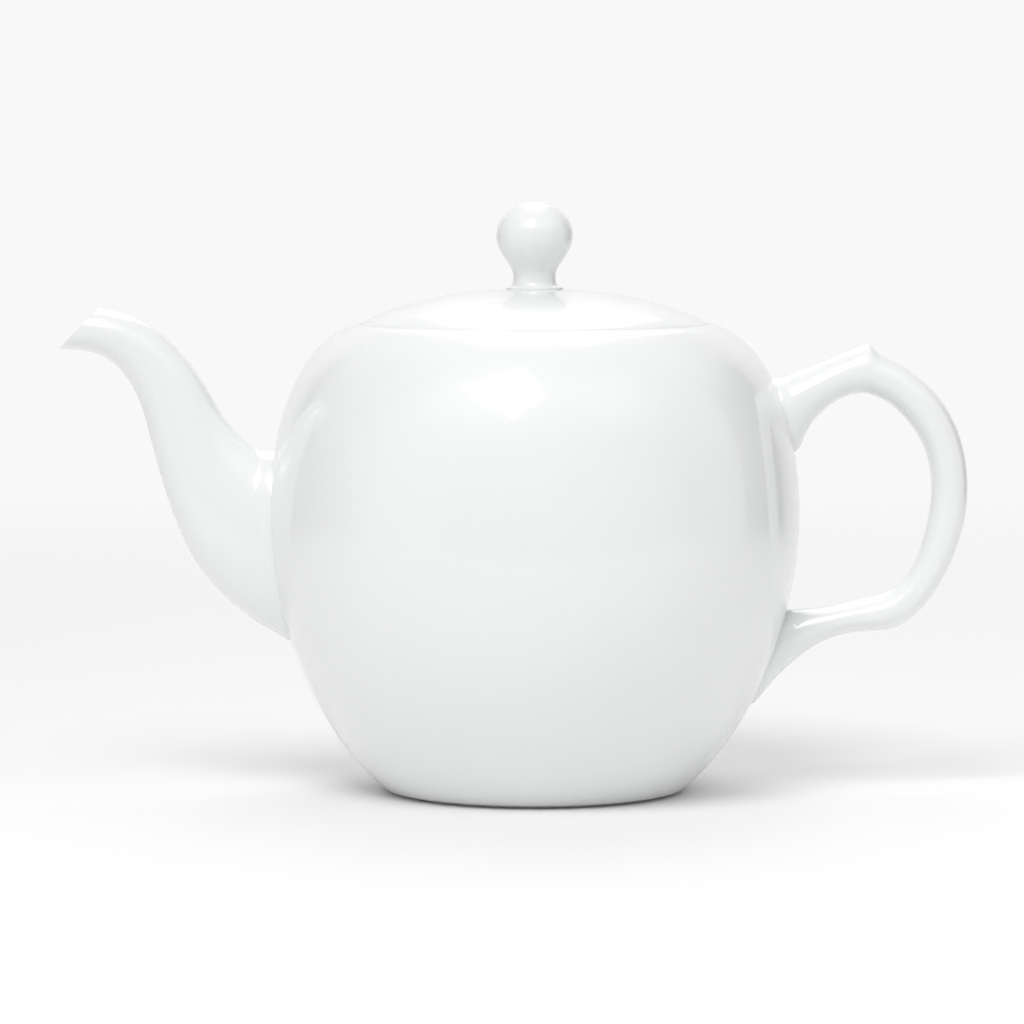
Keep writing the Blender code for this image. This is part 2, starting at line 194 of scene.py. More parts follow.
# %% [markdown]
# ### Glazed hard-paste porcelain
#
# Four patterns make up the glaze, and each has a size in metres: how far apart thick and thin
# glaze lie, the length of the dip's slow waves, the fine orange peel, and the mean distance
# between places where a speck could be. Only a few of those places get their speck.

# %% Glazed hard-paste porcelain
POOL_SIZE = 0.030
WAVE_LENGTH = 0.022
PEEL_SIZE = 0.0022
SPECK_SPACING = 0.011
# A speck's full and faded size as shares of the spacing, its strength, and how rare it is.
SPECK_CORE = 0.012
SPECK_RIM = 0.020
SPECK_STRENGTH = 0.45
SPECK_RARITY = 0.86
# How far the waves and the orange peel raise the surface, in metres.
WAVE_RISE = 0.00010
PEEL_RISE = 0.0000022

porcelain, tree, shader = new_material("hard_paste_porcelain_clear_glaze")
place = add_node(tree, 'ShaderNodeTexCoord').outputs["Object"]
pools = add_node(tree, 'ShaderNodeTexNoise', {
    "Vector": place, "Scale": 1 / POOL_SIZE, "Detail": 2.0, "Roughness": 0.4})
glaze_colour = add_node(tree, 'ShaderNodeMix', {
    0: pools.outputs["Fac"], 6: linear("#EDEFEE"), 7: linear("#F0F2F1")}, data_type='RGBA')
cells = add_node(tree, 'ShaderNodeTexVoronoi', {
    "Vector": place, "Scale": 1 / SPECK_SPACING, "Randomness": 1.0})
speck = add_node(tree, 'ShaderNodeMapRange', {
    "Value": cells.outputs["Distance"], "From Min": SPECK_CORE, "From Max": SPECK_RIM,
    "To Min": SPECK_STRENGTH, "To Max": 0.0})
chance = add_node(tree, 'ShaderNodeMath', {
    0: cells.outputs["Color"], 1: SPECK_RARITY}, operation='GREATER_THAN')
rare_speck = add_node(tree, 'ShaderNodeMath', {
    0: speck.outputs["Result"], 1: chance.outputs["Value"]}, operation='MULTIPLY')
speckled = add_node(tree, 'ShaderNodeMix', {
    0: rare_speck.outputs["Value"], 6: glaze_colour.outputs[2], 7: linear("#A9A295")},
    data_type='RGBA')
waves = add_node(tree, 'ShaderNodeTexNoise', {
    "Vector": place, "Scale": 1 / WAVE_LENGTH, "Detail": 1.0, "Roughness": 0.3})
slow_bump = add_node(tree, 'ShaderNodeBump', {
    "Height": waves.outputs["Fac"], "Strength": 1.0, "Distance": WAVE_RISE})
peel = add_node(tree, 'ShaderNodeTexNoise', {
    "Vector": place, "Scale": 1 / PEEL_SIZE, "Detail": 2.0})
peel_bump = add_node(tree, 'ShaderNodeBump', {
    "Height": peel.outputs["Fac"], "Strength": 1.0, "Distance": PEEL_RISE,
    "Normal": slow_bump.outputs["Normal"]})
tree.links.new(speckled.outputs[2], shader.inputs["Base Color"])
tree.links.new(peel_bump.outputs["Normal"], shader.inputs["Normal"])
tree.links.new(peel_bump.outputs["Normal"], shader.inputs["Coat Normal"])
shader.inputs["Roughness"].default_value = 0.32
shader.inputs["IOR"].default_value = 1.50
shader.inputs["Specular IOR Level"].default_value = 0.25
shader.inputs["Subsurface Weight"].default_value = 0.12
shader.inputs["Subsurface Radius"].default_value = (1.0, 0.95, 0.85)
shader.inputs["Subsurface Scale"].default_value = 0.0016
shader.inputs["Coat Weight"].default_value = 1.0
shader.inputs["Coat Roughness"].default_value = 0.025
shader.inputs["Coat IOR"].default_value = 1.50
print("material:", porcelain.name)

# %% [markdown]
# ### Unglazed porcelain of the foot
#
# The foot is wiped clean of glaze, or it would weld itself to the kiln shelf. Bare porcelain is
# smooth to the finger but matt to the eye, a shade warmer than the glazed wall, with the fine
# tooth of alumina wash and a few darker grains picked up in use.

# %% Unglazed porcelain of the foot
TOOTH_SIZE = 0.00035
TOOTH_RISE = 0.00004
STAIN_SIZE = 0.006

biscuit, tree, shader = new_material("unglazed_biscuit_porcelain")
place = add_node(tree, 'ShaderNodeTexCoord').outputs["Object"]
stains = add_node(tree, 'ShaderNodeTexNoise', {
    "Vector": place, "Scale": 1 / STAIN_SIZE, "Detail": 4.0, "Roughness": 0.6})
tooth = add_node(tree, 'ShaderNodeTexNoise', {
    "Vector": place, "Scale": 1 / TOOTH_SIZE, "Detail": 3.0, "Roughness": 0.7})
stained = add_node(tree, 'ShaderNodeMix', {
    0: stains.outputs["Fac"], 6: linear("#DAD6CD"), 7: linear("#E6E3DC")}, data_type='RGBA')
grained = add_node(tree, 'ShaderNodeMix', {
    0: tooth.outputs["Fac"], 6: stained.outputs[2], 7: linear("#EFEDE8")}, data_type='RGBA')
matt = add_node(tree, 'ShaderNodeMapRange', {
    "Value": tooth.outputs["Fac"], "To Min": 0.68, "To Max": 0.86})
tooth_bump = add_node(tree, 'ShaderNodeBump', {
    "Height": tooth.outputs["Fac"], "Strength": 0.6, "Distance": TOOTH_RISE})
tree.links.new(grained.outputs[2], shader.inputs["Base Color"])
tree.links.new(matt.outputs["Result"], shader.inputs["Roughness"])
tree.links.new(tooth_bump.outputs["Normal"], shader.inputs["Normal"])
shader.inputs["IOR"].default_value = 1.50
print("material:", biscuit.name)

# %% [markdown]
# ## Turning on the wheel
#
# A factory pot is jiggered: a steel template shaped like half of the pot's outline is lowered
# into clay that spins on a wheel. The same can be done here. The half outline is drawn as a
# Bezier curve, where two handles bend each span as a draughtsman's spline would, and is then
# spun once round the axis. A lathe modifier would do it too, but the Spin operator shows each
# step, and merging the doubled points at the seam and at the poles closes the shell.
#
# A corner of the template is a knot without handles. Fired glaze never leaves a knife edge, so
# a Bevel modifier rounds each corner that the spin leaves.

# %% Template knots and the wheel
# How many faces go round a big piece, a small one and the strainer.
WHEEL_STEPS = 160
SMALL_WHEEL_STEPS = 96
STRAINER_STEPS = 64


def corner(radius, height):
    """A knot where the outline turns sharply between straight spans."""
    return (None, (radius, height), None)


def knot(before, radius, height, after):
    """A knot with a handle before it and one after it, or None for a straight span."""
    return (before, (radius, height), after)


def draw_template(name, knots, closed=False, span_points=14):
    """The half outline as a Bezier curve, standing in the plane y = 0 beside the axis."""
    bpy.ops.object.select_all(action='DESELECT')
    bpy.ops.curve.primitive_bezier_curve_add(location=(0, 0, 0))
    template = bpy.context.object
    template.name = name
    template.data.resolution_u = span_points
    spline = template.data.splines[0]
    spline.bezier_points.add(len(knots) - 2)
    spline.use_cyclic_u = closed
    for point, (before, place, after) in zip(spline.bezier_points, knots):
        point.handle_left_type = 'FREE' if before else 'VECTOR'
        point.handle_right_type = 'FREE' if after else 'VECTOR'
        point.co = (axis_x + place[0], 0, place[1])
    for point, (before, place, after) in zip(spline.bezier_points, knots):
        if before:
            point.handle_left = (axis_x + before[0], 0, before[1])
        if after:
            point.handle_right = (axis_x + after[0], 0, after[1])
    return template


def turn_on_wheel(template, steps=WHEEL_STEPS):
    """Spin the template once round the pot's axis, and close the seam and the poles."""
    choose(template)
    bpy.ops.object.convert(target='MESH')
    turned = bpy.context.object
    bpy.ops.object.mode_set(mode='EDIT')
    bpy.ops.mesh.select_all(action='SELECT')
    bpy.ops.mesh.spin(steps=steps, angle=2 * pi, center=(axis_x, 0, 0), axis=(0, 0, 1))
    bpy.ops.mesh.select_all(action='SELECT')
    bpy.ops.mesh.remove_doubles(threshold=0.00001)
    bpy.ops.mesh.normals_make_consistent(inside=False)
    bpy.ops.object.mode_set(mode='OBJECT')
    return turned


def round_corners(piece, width, segments=3, angle=35):
    """Round every edge sharper than the angle, then shade the whole piece smooth."""
    shape_with(piece, 'BEVEL', width=width, segments=segments, limit_method='ANGLE',
               angle_limit=radians(angle), harden_normals=False)
    shade_smooth(piece)


# %% [markdown]
# ## The belly
#
# The belly is the pot itself: a round wall 3.6 mm thick that closes over at the shoulder, a
# stepped mouth that the lid lies in, and a recess below for the foot. One template holds it all,
# from the middle of the underside, round the outside, over the mouth and back down inside to the
# middle of the floor. The outside is two smooth spans that meet upright at the widest height,
# so that reflections run over it without a break.

# %% Turn the belly
WALL = 0.0036
EQUATOR_Z = 0.0740
MOUTH_RADIUS = 0.0469
BASE_RADIUS = 0.0404
THROAT_RADIUS = 0.0420
LEDGE_Z = ring_high[2]
THROAT_DEPTH = 0.0033
FLOOR_RADIUS = 0.0400
FLOOR_Z = 0.0075
JOINT_GAP = 0.0003
RIM_ROUND = 0.0003
BELLY_BEVEL = 0.0004
# How far the belly's swell carries above and below its widest height.
UPPER_SWELL = 0.0250
LOWER_SWELL = 0.0255
# Where the curve's handles (radius, height) pull the shoulder and the base, outside and inside.
SHOULDER_PULL = (0.0629, 0.1216)
BASE_PULL = (0.0594, 0.0165)
INNER_SHOULDER_PULL = (0.0622, 0.1194)
INNER_BASE_PULL = (0.0572, 0.0197)

recess_radius = foot_radius + JOINT_GAP
recess_z = foot_high[2] + JOINT_GAP
inner_radius = belly_radius - WALL

outside_knots = [
    knot(None, BASE_RADIUS, base_z, BASE_PULL),
    knot((belly_radius, EQUATOR_Z - LOWER_SWELL), belly_radius, EQUATOR_Z,
         (belly_radius, EQUATOR_Z + UPPER_SWELL)),
    knot(SHOULDER_PULL, MOUTH_RADIUS, mouth_z, None),
]
belly_knots = [
    corner(0.0, recess_z),
    corner(recess_radius, recess_z),
    corner(recess_radius, base_z),
    *outside_knots,
    corner(MOUTH_RADIUS - RIM_ROUND, LEDGE_Z),
    corner(THROAT_RADIUS, LEDGE_Z),
    knot(None, THROAT_RADIUS, LEDGE_Z - THROAT_DEPTH, INNER_SHOULDER_PULL),
    knot((inner_radius, EQUATOR_Z + UPPER_SWELL), inner_radius, EQUATOR_Z,
         (inner_radius, EQUATOR_Z - LOWER_SWELL)),
    knot(INNER_BASE_PULL, FLOOR_RADIUS, FLOOR_Z, None),
    corner(0.0, FLOOR_Z),
]
belly = turn_on_wheel(draw_template("belly_glazed", belly_knots, span_points=22))
round_corners(belly, BELLY_BEVEL)
report(belly, "belly")

# %% [markdown]
# ### The hole behind the spout
#
# The spout's tea has to get out, so the potter cuts an oval hole in the wall before the spout
# goes on. A stretched cylinder, taken away with a Boolean modifier, does the same.

# %% Cut the oval hole behind the spout
HOLE_Z = 0.0660
HOLE_HALF_HEIGHT = 0.0185
HOLE_HALF_WIDTH = 0.0085
HOLE_DRILL_LENGTH = 0.024
WALL_MIDDLE_X = -0.0668


def oval_drill(name, half_height, half_width, x, length):
    """A closed oval cylinder lying along x, at the height of the hole."""
    bpy.ops.object.select_all(action='DESELECT')
    bpy.ops.mesh.primitive_cylinder_add(
        vertices=64, radius=half_height, depth=length, location=(axis_x + x, 0, HOLE_Z),
        rotation=(0, pi / 2, 0))
    drill = bpy.context.object
    drill.name = name
    bpy.ops.object.transform_apply(location=True, rotation=True, scale=True)
    bpy.ops.object.mode_set(mode='EDIT')
    bpy.ops.mesh.select_all(action='SELECT')
    bpy.ops.transform.resize(value=(1, half_width / half_height, 1), center_override=(0, 0, 0))
    bpy.ops.object.mode_set(mode='OBJECT')
    return drill


def take_away(piece, cutter):
    """Cut one closed mesh out of another, and throw the cutter away."""
    shape_with(piece, 'BOOLEAN', operation='DIFFERENCE', object=cutter, solver='EXACT')
    bpy.data.objects.remove(cutter, do_unlink=True)


take_away(belly, oval_drill(
    "hole_drill", HOLE_HALF_HEIGHT, HOLE_HALF_WIDTH, WALL_MIDDLE_X, HOLE_DRILL_LENGTH))
report(belly, "belly")

# %% [markdown]
# ## The foot ring
#
# Turned pots stand on a narrow ring, so that a slightly warped floor can't rock. It is the one
# bare part of the teapot. Its template is closed, with softened lower edges.

# %% Turn the foot ring
FOOT_WIDTH = 0.0040
FOOT_BEVEL = 0.0002
# The softened lower edge: how high it starts, and where its curve's handles end.
FOOT_SOFT = 0.0007
SOFT_START = FOOT_SOFT * 1.4
SOFT_PULL_DOWN = FOOT_SOFT * 0.4
SOFT_PULL_IN = FOOT_SOFT * 0.6

foot_inner = foot_radius - FOOT_WIDTH
foot_top = foot_high[2]
foot_middle = foot_radius - FOOT_WIDTH / 2
foot = turn_on_wheel(draw_template("foot_ring_bare", [
    corner(foot_radius, foot_top),
    knot(None, foot_radius, SOFT_START, (foot_radius, SOFT_PULL_DOWN)),
    knot((foot_radius - SOFT_PULL_IN, 0.0), foot_middle, 0.0, (foot_inner + SOFT_PULL_IN, 0.0)),
    knot((foot_inner, SOFT_PULL_DOWN), foot_inner, SOFT_START, None),
    corner(foot_inner, foot_top),
], closed=True, span_points=10))
round_corners(foot, FOOT_BEVEL, segments=2)
report(foot, "foot_ring")

# %% [markdown]
# ## The spout
#
# A spout is slip-cast: its section changes all the way, from a tall oval at the root to a small
# one at the beak. Here it is a stack of rings. Each ring is a circle primitive, added upright at
# its station between a point on the spout's upper edge and one on its lower edge, and squeezed
# to its width. Bridging neighbouring rings makes the skin, Solidify gives it its wall, and a
# Subdivision Surface rounds it. The spout is swept a little too long, as it is cast too long,
# and is then trimmed along a slanting plane, which leaves the pointed beak that stops drips.

# %% Stations of the spout
# Upper edge (x, z), lower edge (x, z) and half width, measured from the pot's axis.
SPOUT_STATIONS = [
    ((-0.0560, 0.0880), (-0.0500, 0.0380), 0.0142),
    ((-0.0705, 0.0906), (-0.0660, 0.0408), 0.0132),
    ((-0.0767, 0.0935), (-0.0777, 0.0473), 0.0114),
    ((-0.0828, 0.1000), (-0.0903, 0.0600), 0.0102),
    ((-0.0868, 0.1069), (-0.0978, 0.0770), 0.0094),
    ((-0.0903, 0.1125), (-0.1024, 0.0930), 0.0087),
    ((-0.0947, 0.1179), (-0.1053, 0.1040), 0.0081),
    ((-0.0998, 0.1230), (-0.1090, 0.1111), 0.0077),
    ((-0.1048, 0.1262), (-0.1130, 0.1152), 0.0074),
    ((-0.1094, 0.1282), (-0.1178, 0.1176), 0.0071),
    ((-0.1134, 0.1292), (-0.1226, 0.1183), 0.0068),
    ((-0.1170, 0.1297), (-0.1270, 0.1185), 0.0066),
    ((-0.1220, 0.1301), (-0.1320, 0.1188), 0.0064),
    ((-0.1270, 0.1303), (-0.1370, 0.1192), 0.0062),
]
# The mouth's slanting plane passes through its highest point and the tip of the beak (x, z).
MOUTH_HIGH = (-0.1162, 0.1295)
MOUTH_TIP = (-0.1270, 0.1185)
SPOUT_WALL = 0.0024
RING_POINTS = 28
# Points that are higher than a ring's middle by more than this belong to its upper half.
UPPER_HALF_STARTS = 0.0001


def between_stations(stations, steps):
    """More stations between the given ones, on a smooth curve through all of them.

    Each span is a Catmull-Rom curve: it leaves each station in the direction from the station
    before it to the one after it.
    """
    rows = [(*upper, *lower, width) for upper, lower, width in stations]
    last = len(rows) - 1
    finer = []
    for i in range(last):
        before, here, there, after = (rows[max(0, min(last, i + k))] for k in (-1, 0, 1, 2))
        for step in range(steps):
            t = step / steps
            finer.append([
                0.5 * (2 * q + (r - p) * t + (2 * p - 5 * q + 4 * r - s) * t ** 2
                       + (3 * q - p - 3 * r + s) * t ** 3)
                for p, q, r, s in zip(before, here, there, after)])
    finer.append(list(rows[-1]))
    return [((a, b), (c, d), width) for a, b, c, d, width in finer]


def add_ring(upper, lower, half_width):
    """In edit mode, add an oval ring between two edge points.

    Returns the ring's middle and half of its height.
    """
    up = Vector((upper[0] - lower[0], 0, upper[1] - lower[1]))
    middle = Vector((axis_x + (upper[0] + lower[0]) / 2, 0, (upper[1] + lower[1]) / 2))
    half_height = up.length / 2
    bpy.ops.mesh.primitive_circle_add(
        vertices=RING_POINTS, radius=half_height, location=middle,
        rotation=(0, atan2(-up.z, up.x), 0))
    bpy.ops.transform.resize(value=(1, half_width / half_height, 1), center_override=middle)
    return middle, half_height


def sweep_rings(name, stations, raise_top=None):
    """Add a ring at each station and bridge each to the next."""
    bpy.ops.object.select_all(action='DESELECT')
    bpy.ops.mesh.primitive_circle_add(vertices=3, radius=0.001, location=(0, 0, 0))
    piece = bpy.context.object
    piece.name = name
    bpy.ops.object.mode_set(mode='EDIT')
    bpy.ops.mesh.select_all(action='SELECT')
    bpy.ops.mesh.delete(type='VERT')
    for upper, lower, half_width in stations:
        middle, half_height = add_ring(upper, lower, half_width)
        lift = raise_top(upper) if raise_top else 0.0
        if lift > 0.0:
            stretch_top(piece, middle, half_height, lift)
    for ring in range(len(stations) - 1):
        first, stop = ring * RING_POINTS, (ring + 2) * RING_POINTS
        select_points(piece, lambda point: first <= point.index < stop)
        bpy.ops.mesh.bridge_edge_loops()
    return piece


def stretch_top(piece, middle, half_height, lift):
    """Stretch the upper half of the ring just added, until its top is this much higher."""
    lowest = middle.z + UPPER_HALF_STARTS
    select_points(piece, lambda point: point.select and point.co.z > lowest)
    bpy.ops.transform.resize(value=(1, 1, 1 + lift / half_height), center_override=middle)


spout = sweep_rings("spout_glazed", between_stations(SPOUT_STATIONS, 2))
bpy.ops.mesh.select_all(action='SELECT')
bpy.ops.mesh.normals_make_consistent(inside=False)
bpy.ops.object.mode_set(mode='OBJECT')
shape_with(spout, 'SOLIDIFY', thickness=SPOUT_WALL, offset=-1.0, use_even_offset=True)
shape_with(spout, 'SUBSURF', levels=2, render_levels=2)

# %% [markdown]
# ### Trimming the mouth
#
# The knife is a block with one face in the mouth's slanting plane, on the side that is thrown
# away. Taking it away leaves a clean, flat lip.

# %% Trim the mouth
TRIM_BLOCK = 0.05
slope = atan2(MOUTH_HIGH[1] - MOUTH_TIP[1], MOUTH_HIGH[0] - MOUTH_TIP[0])
mouth_middle = Vector((axis_x + (MOUTH_HIGH[0] + MOUTH_TIP[0]) / 2, 0,
                       (MOUTH_HIGH[1] + MOUTH_TIP[1]) / 2))
away = Vector((-sin(slope), 0, cos(slope)))
bpy.ops.object.select_all(action='DESELECT')
bpy.ops.mesh.primitive_cube_add(
    size=TRIM_BLOCK, location=mouth_middle + away * TRIM_BLOCK / 2, rotation=(0, -slope, 0))
knife = bpy.context.object
bpy.ops.object.transform_apply(location=True, rotation=True, scale=True)
take_away(spout, knife)
print("spout:", len(spout.data.polygons), "faces")

# %% [markdown]
# ### Luting the spout on
#
# The leather-hard spout is scored, wetted with slip and pressed to the wall, and the squeezed
# slip is sponged into a small flare. Two modifiers do that: one measures how near each point is
# to the belly, the other moves the near ones outwards. Then everything deeper than the wall's
# skin is cut away, so that nothing shows inside the pot.

# %% Flare the root and trim it inside the wall
SKIN_DEPTH = 0.0012


def wall_core(name):
    """The space inside the belly's outer skin, as a closed turned solid."""
    shrink = 1 - SKIN_DEPTH / belly_radius

    def drawn_in(place):
        return (place[0] * shrink, place[1]) if place else None

    core_knots = [corner(0.0, base_z + SKIN_DEPTH)]
    core_knots += [tuple(drawn_in(place) for place in row) for row in outside_knots]
    core_knots.append(corner(0.0, mouth_z))
    return turn_on_wheel(draw_template(name, core_knots), steps=SMALL_WHEEL_STEPS)


def press_on(piece, flare, reach):
    """Flare the piece where it meets the belly, and cut off what lies inside the wall."""
    near = piece.vertex_groups.new(name="near_the_wall")
    near.add(range(len(piece.data.vertices)), 1.0, 'REPLACE')
    shape_with(piece, 'VERTEX_WEIGHT_PROXIMITY', vertex_group="near_the_wall", target=belly,
               proximity_mode='GEOMETRY', proximity_geometry={'FACE'},
               min_dist=reach, max_dist=0.0, falloff_type='SMOOTH')
    shape_with(piece, 'DISPLACE', strength=flare, mid_level=0.0, direction='NORMAL',
               vertex_group="near_the_wall")
    piece.vertex_groups.clear()
    take_away(piece, wall_core("wall_core"))
    shade_smooth(piece)


press_on(spout, flare=0.0009, reach=0.0040)
report(spout, "spout")

# %% [markdown]
# ## The strainer
#
# Behind the spout the wall of a good teapot isn't just open: a thin oval plate, domed into the
# pot, is pierced with a few dozen small holes that hold back the leaves. The plate is turned like
# the other round parts, squeezed to an oval and set upright in the hole. One drill is made, then
# copied to each place of a staggered grid.

# %% Turn and pierce the strainer
STRAINER_BULGE = 0.0045
STRAINER_THICKNESS = 0.0020
STRAINER_PITCH = 0.0048
STRAINER_HOLE_RADIUS = 0.0015
STRAINER_MARGIN = 0.0033
STRAINER_BEVEL = 0.0003
# How far out the curve's two handles reach, as shares of the plate's radius, and how high the
# outer one stands, as a share of the bulge.
MIDDLE_SHARE = 0.55
EDGE_SHARE = 0.8
EDGE_RISE_SHARE = 0.35
DRILL_LENGTH = 0.02


def strainer_places():
    """Places (y, z) of a staggered grid that keeps clear of the plate's edge."""
    half_width = HOLE_HALF_WIDTH - STRAINER_MARGIN
    half_height = HOLE_HALF_HEIGHT - STRAINER_MARGIN
    places = []
    for row in range(-4, 5):
        shift = STRAINER_PITCH / 2 if row % 2 else 0.0
        for column in range(-2, 3):
            y = column * STRAINER_PITCH + shift
            z = row * STRAINER_PITCH * sin(pi / 3)
            if (y / half_width) ** 2 + (z / half_height) ** 2 <= 1.0:
                places.append((y, HOLE_Z + z))
    return places


plate_radius = HOLE_HALF_HEIGHT - JOINT_GAP
rim = plate_radius * MIDDLE_SHARE
strainer = turn_on_wheel(draw_template("spout_strainer_glazed", [
    knot(None, 0.0, STRAINER_BULGE, (rim, STRAINER_BULGE)),
    knot((plate_radius * EDGE_SHARE, STRAINER_BULGE * EDGE_RISE_SHARE), plate_radius, 0.0, None),
    knot(None, plate_radius, -STRAINER_THICKNESS,
         (plate_radius * EDGE_SHARE, STRAINER_BULGE * EDGE_RISE_SHARE - STRAINER_THICKNESS)),
    knot((rim, STRAINER_BULGE - STRAINER_THICKNESS), 0.0, STRAINER_BULGE - STRAINER_THICKNESS,
         None),
], span_points=12), steps=STRAINER_STEPS)
squeeze = (HOLE_HALF_WIDTH - JOINT_GAP) / plate_radius
stand_up = (Matrix.Translation((axis_x + WALL_MIDDLE_X, 0, HOLE_Z))
            @ Matrix.Diagonal((1, squeeze, 1, 1)) @ Matrix.Rotation(pi / 2, 4, 'Y')
            @ Matrix.Translation((-axis_x, 0, 0)))
strainer.matrix_world = stand_up
choose(strainer)
bpy.ops.object.transform_apply(location=True, rotation=True, scale=True)

for count, (y, z) in enumerate(strainer_places()):
    bpy.ops.object.select_all(action='DESELECT')
    bpy.ops.mesh.primitive_cylinder_add(
        vertices=20, radius=STRAINER_HOLE_RADIUS, depth=DRILL_LENGTH,
        location=(axis_x + WALL_MIDDLE_X, y, z), rotation=(0, pi / 2, 0))
    bpy.context.object.name = f"strainer_drill_{count}"
drills = [o for o in bpy.data.objects if o.name.startswith("strainer_drill_")]
choose(drills[0])
for drill in drills:
    drill.select_set(True)
bpy.ops.object.join()
bpy.ops.object.transform_apply(location=True, rotation=True, scale=True)
take_away(strainer, drills[0])
round_corners(strainer, STRAINER_BEVEL, segments=2, angle=50)
print("strainer holes:", len(strainer_places()))
report(strainer, "spout_strainer")

# %% [markdown]
# ## The handle
#
# The handle is one cast loop: it springs from the shoulder, swells into a small spur that the
# thumb rests on, bends round, and runs back under the fingers into a tail that dies away down the
# belly. It is swept through rings as the spout is. The spur is made by stretching the upper half
# of the rings below it, a little more at each ring, and not at all past its tip, which leaves the
# small step that stops the thumb.

# %% Stations of the handle
# Outer edge (x, z), inner edge (x, z) and half width, from the upper root to the tail.
HANDLE_STATIONS = [
    ((0.0560, 0.1068), (0.0610, 0.0880), 0.0088),
    ((0.0635, 0.1099), (0.0703, 0.0914), 0.0080),
    ((0.0705, 0.1126), (0.0736, 0.0981), 0.0072),
    ((0.0785, 0.1154), (0.0795, 0.1040), 0.0068),
    ((0.0848, 0.1170), (0.0848, 0.1064), 0.0066),
    ((0.0884, 0.1173), (0.0876, 0.1067), 0.0066),
    ((0.0902, 0.1176), (0.0891, 0.1066), 0.0066),
    ((0.0921, 0.1172), (0.0905, 0.1061), 0.0065),
    ((0.0976, 0.1146), (0.0943, 0.1045), 0.0065),
    ((0.1042, 0.1099), (0.0990, 0.1003), 0.0064),
    ((0.1097, 0.1038), (0.1028, 0.0952), 0.0063),
    ((0.1135, 0.0965), (0.1052, 0.0896), 0.0062),
    ((0.1156, 0.0885), (0.1061, 0.0845), 0.0061),
    ((0.1161, 0.0800), (0.1062, 0.0790), 0.0060),
    ((0.1151, 0.0715), (0.1053, 0.0725), 0.0060),
    ((0.1127, 0.0635), (0.1034, 0.0652), 0.0060),
    ((0.1090, 0.0560), (0.1008, 0.0592), 0.0060),
    ((0.1038, 0.0486), (0.0966, 0.0545), 0.0061),
    ((0.0973, 0.0437), (0.0910, 0.0524), 0.0062),
    ((0.0897, 0.0429), (0.0855, 0.0512), 0.0063),
    ((0.0825, 0.0420), (0.0800, 0.0498), 0.0064),
    ((0.0755, 0.0391), (0.0745, 0.0490), 0.0066),
    ((0.0690, 0.0342), (0.0702, 0.0487), 0.0069),
    ((0.0630, 0.0284), (0.0660, 0.0470), 0.0072),
    ((0.0560, 0.0215), (0.0600, 0.0440), 0.0074),
]
SPUR_START_X = 0.0635
SPUR_TIP_X = 0.0893
SPUR_FALL = 0.0024
SPUR_HEIGHT = 0.0028
ARCH_Z = 0.1000


def spur_lift(upper):
    """How far the spur stands above the loop at this station's upper edge point."""
    x, z = upper
    if z < ARCH_Z or x < SPUR_START_X:
        return 0.0
    if x <= SPUR_TIP_X:
        return SPUR_HEIGHT * ((x - SPUR_START_X) / (SPUR_TIP_X - SPUR_START_X)) ** 3
    return SPUR_HEIGHT * max(0.0, 1 - (x - SPUR_TIP_X) / SPUR_FALL)


handle = sweep_rings("handle_glazed", between_stations(HANDLE_STATIONS, 2), raise_top=spur_lift)
ring_total = 2 * (len(HANDLE_STATIONS) - 1) + 1
for first in (0, (ring_total - 1) * RING_POINTS):
    select_points(handle, lambda point: first <= point.index < first + RING_POINTS)
    bpy.ops.mesh.edge_face_add()
bpy.ops.mesh.select_all(action='SELECT')
bpy.ops.mesh.normals_make_consistent(inside=False)
bpy.ops.object.mode_set(mode='OBJECT')
shape_with(handle, 'SUBSURF', levels=2, render_levels=2)
press_on(handle, flare=0.0007, reach=0.0035)
report(handle, "handle")

# %% [markdown]
# ## The lid
#
# The lid is a shallow dome that lies in the mouth's step, so that pot and lid make one round
# line. Seen close, there is a fine dark seam between them, a few tenths of a millimetre wide,
# because two fired pieces never fit exactly. A small hole at the back lets air in as the tea
# runs out.

# %% Turn the lid
LID_EDGE_HEIGHT = 0.0022
LID_SOFT = 0.0006
LID_BEVEL = 0.0003
# The outer slope of the dome: how far in and how high its curve is pulled above the edge.
DOME_PULL_IN = 0.0068
DOME_PULL_UP = 0.0036
CROWN_PULL = 0.0240
# The small roll-over between the dome and the lid's upright edge: inwards and downwards.
ROLL_IN = 0.0004
ROLL_DOWN = 0.0005
# The hollow below: how its curve is pulled at its edge and near the middle.
HOLLOW_PULL_IN = 0.0060
HOLLOW_PULL_UP = 0.0040
HOLLOW_CROWN_PULL = 0.0200
HOLLOW_RADIUS = 0.0384
CROWN_THICKNESS = 0.0030
VENT_RADIUS = 0.0018
VENT_OFFSET = 0.0220

lid_under = lid_low[2]
lid_edge_z = lid_under + LID_EDGE_HEIGHT
lid_top = lid_high[2]
hollow_top = lid_top - CROWN_THICKNESS
lid = turn_on_wheel(draw_template("lid_glazed", [
    knot(None, 0.0, lid_top, (CROWN_PULL, lid_top)),
    knot((lid_radius - DOME_PULL_IN, lid_edge_z + DOME_PULL_UP), lid_radius - ROLL_IN,
         lid_edge_z, None),
    corner(lid_radius, lid_edge_z - ROLL_DOWN),
    corner(lid_radius, lid_under + LID_SOFT),
    corner(lid_radius - LID_SOFT, lid_under),
    knot(None, HOLLOW_RADIUS, lid_under,
         (HOLLOW_RADIUS - HOLLOW_PULL_IN, lid_under + HOLLOW_PULL_UP)),
    knot((HOLLOW_CROWN_PULL, hollow_top), 0.0, hollow_top, None),
], span_points=24))
bpy.ops.object.select_all(action='DESELECT')
bpy.ops.mesh.primitive_cylinder_add(
    vertices=32, radius=VENT_RADIUS, depth=DRILL_LENGTH,
    location=(axis_x, VENT_OFFSET, lid_top))
vent_drill = bpy.context.object
bpy.ops.object.transform_apply(location=True, rotation=True, scale=True)
take_away(lid, vent_drill)
